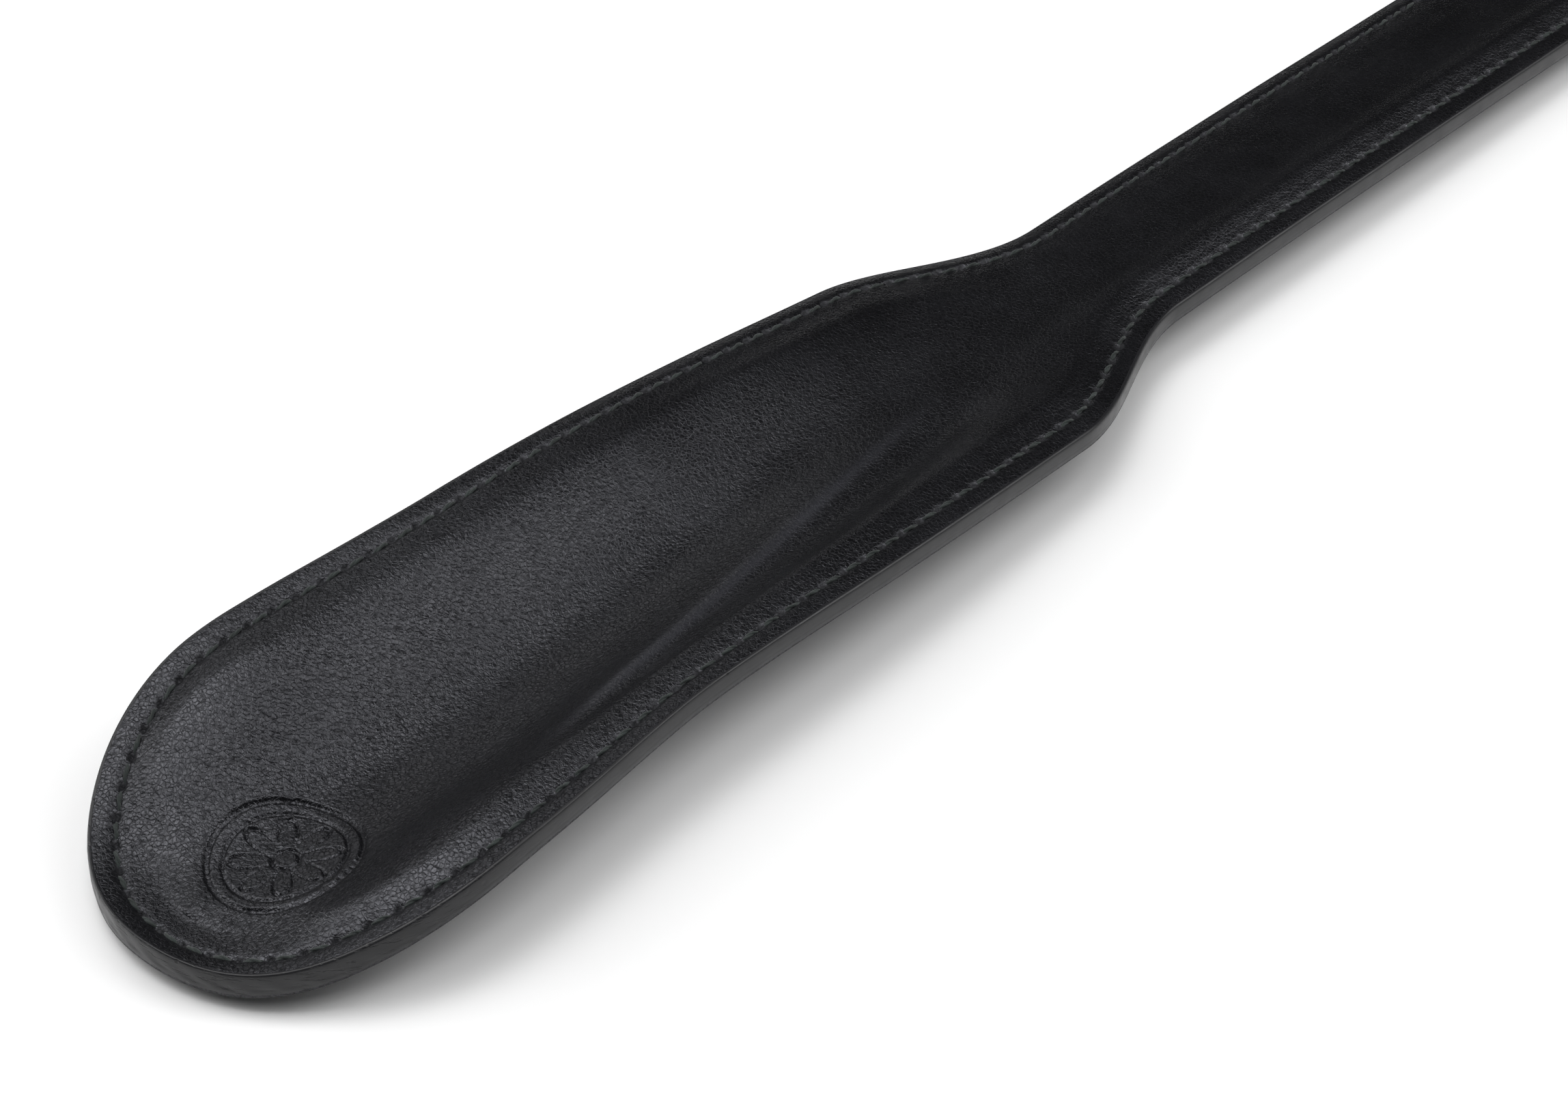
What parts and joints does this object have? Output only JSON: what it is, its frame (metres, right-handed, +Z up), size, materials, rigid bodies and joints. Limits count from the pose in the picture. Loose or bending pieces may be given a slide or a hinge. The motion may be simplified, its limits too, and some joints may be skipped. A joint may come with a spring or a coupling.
{
  "type": "long-handled leather-covered shoehorn",
  "caption": "Long shoehorn: a scooped steel core padded and sandwiched between two black leather covers, sewn together all round near the painted edge.",
  "frame": {"origin": "middle of the bounding box, on the surface that the shoehorn lies on", "axes": "+X from the blade's tip to the handle's end, +Y across to the left seen from the tip, +Z up, out of the scoop"},
  "size_m": [0.505, 0.051, 0.0142],
  "materials": {
    "spring_steel": "plain rolled spring steel, hidden inside",
    "felt_padding": "thin dense felt, hidden inside",
    "black_leather": "black box calf with a fine tight grain and a satin polish, cut edges painted and burnished",
    "thread": "waxed two-ply thread, dark grey-green"
  },
  "bodies": {
    "root": {"steel_core": "spring_steel", "padding_sheet": "felt_padding", "upper_leather": "black_leather", "lower_leather": "black_leather", "upper_thread": "thread", "lower_thread": "thread"}
  },
  "joints": []
}
